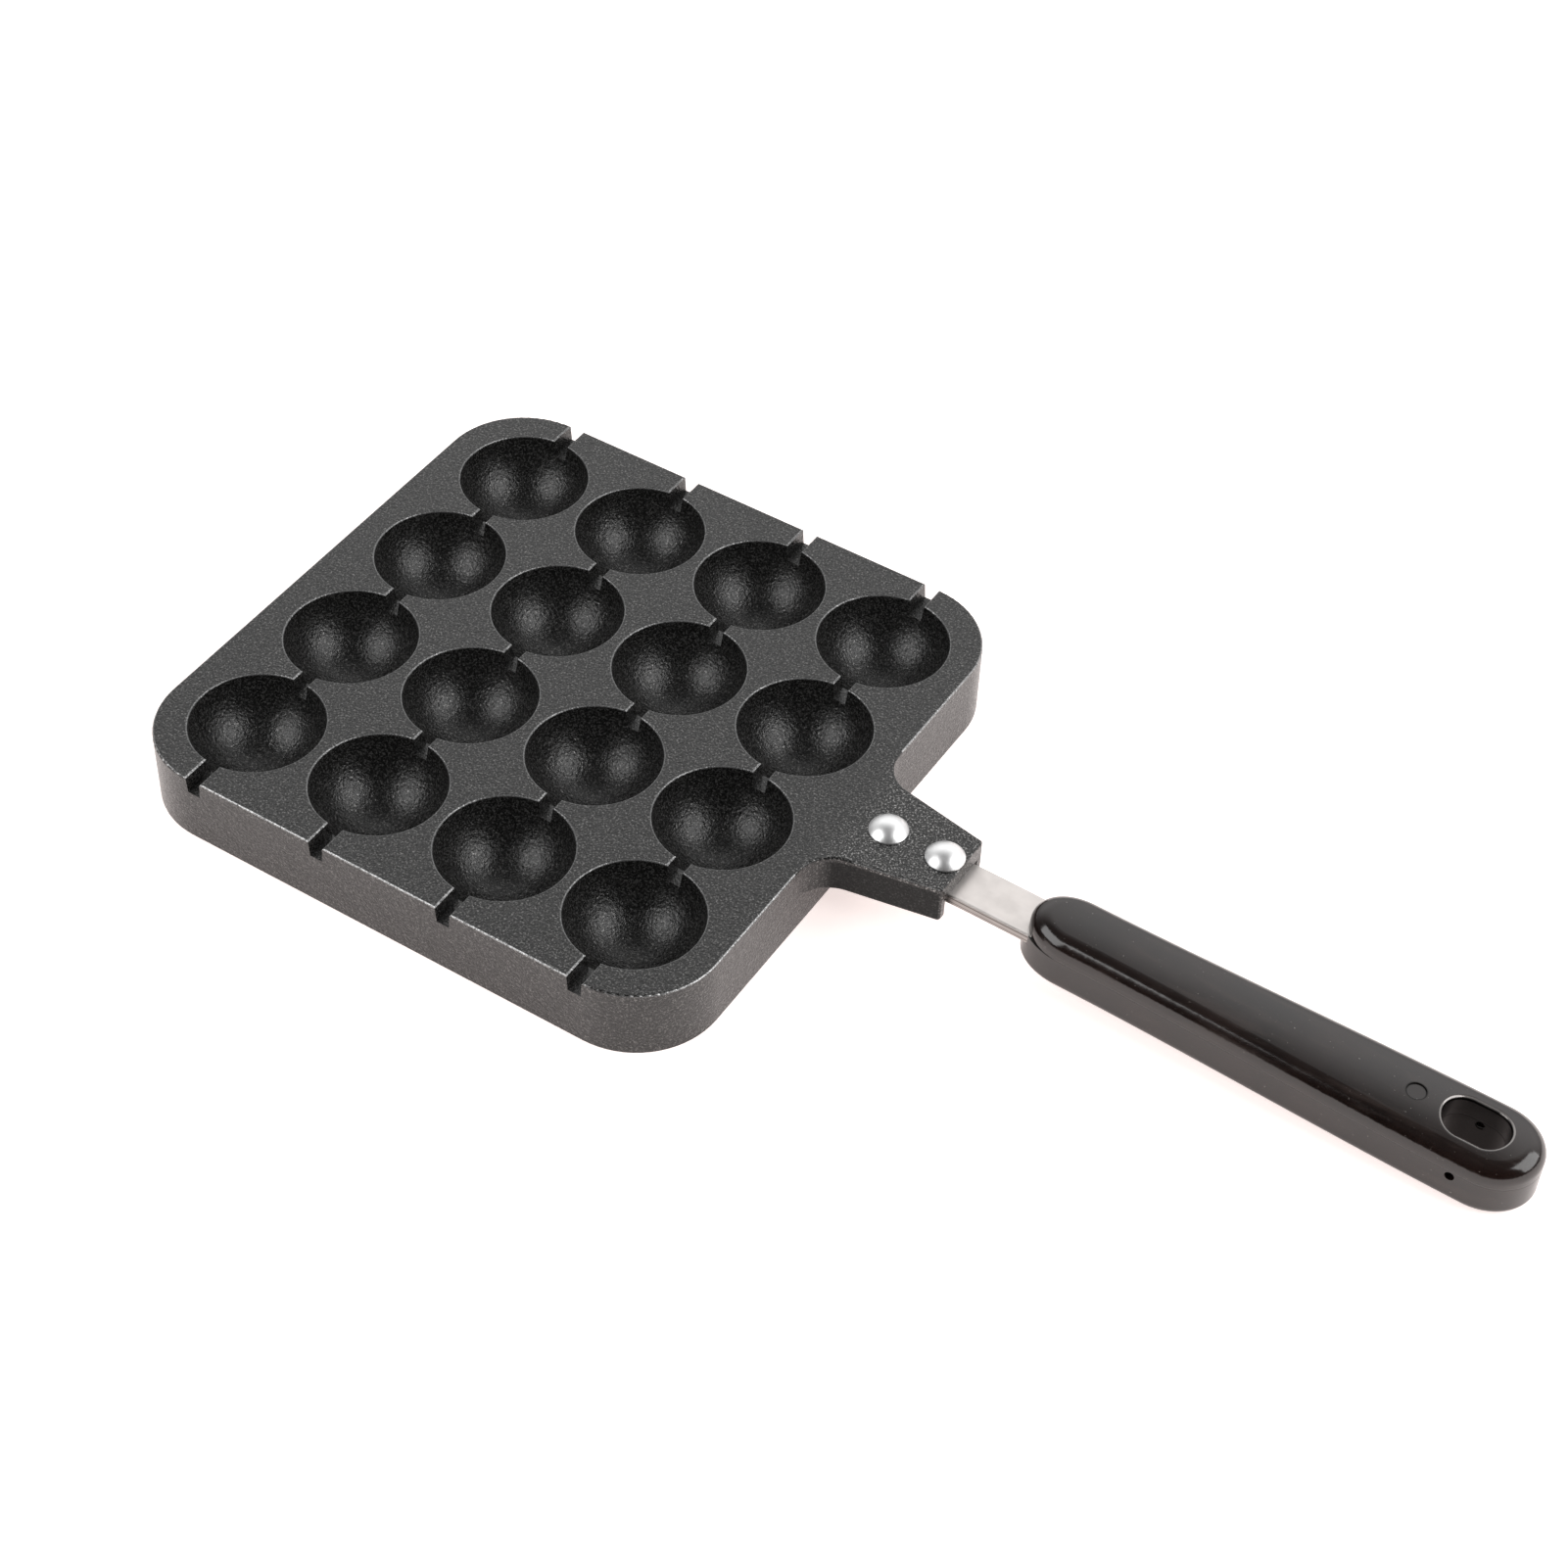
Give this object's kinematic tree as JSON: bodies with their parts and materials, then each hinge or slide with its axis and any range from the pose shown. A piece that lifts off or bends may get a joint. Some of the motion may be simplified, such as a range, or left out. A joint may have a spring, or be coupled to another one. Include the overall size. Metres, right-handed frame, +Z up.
{
  "type": "takoyaki grill plate",
  "caption": "Square cast grill plate with a grid of round baking cups, a stick groove through each row, a riveted flat strap and a glossy moulded grip with a hang hole.",
  "frame": {"origin": "middle of the resting plane, below the centre of the grid of cups", "axes": "+X out along the handle, +Y along the stick grooves, +Z up, out of the cups"},
  "size_m": [0.4036, 0.19, 0.0273],
  "materials": {
    "coated_casting": "cast aluminium under a dark speckled non-stick coating",
    "strap_steel": "plain rolled steel",
    "rivet_aluminium": "bright, lightly satin",
    "grip_moulding": "glossy black thermoset"
  },
  "bodies": {
    "root": {"grill_plate": "coated_casting", "handle_strap": "strap_steel", "rivet_inner": "rivet_aluminium", "rivet_outer": "rivet_aluminium", "handle_grip": "grip_moulding"}
  },
  "joints": []
}
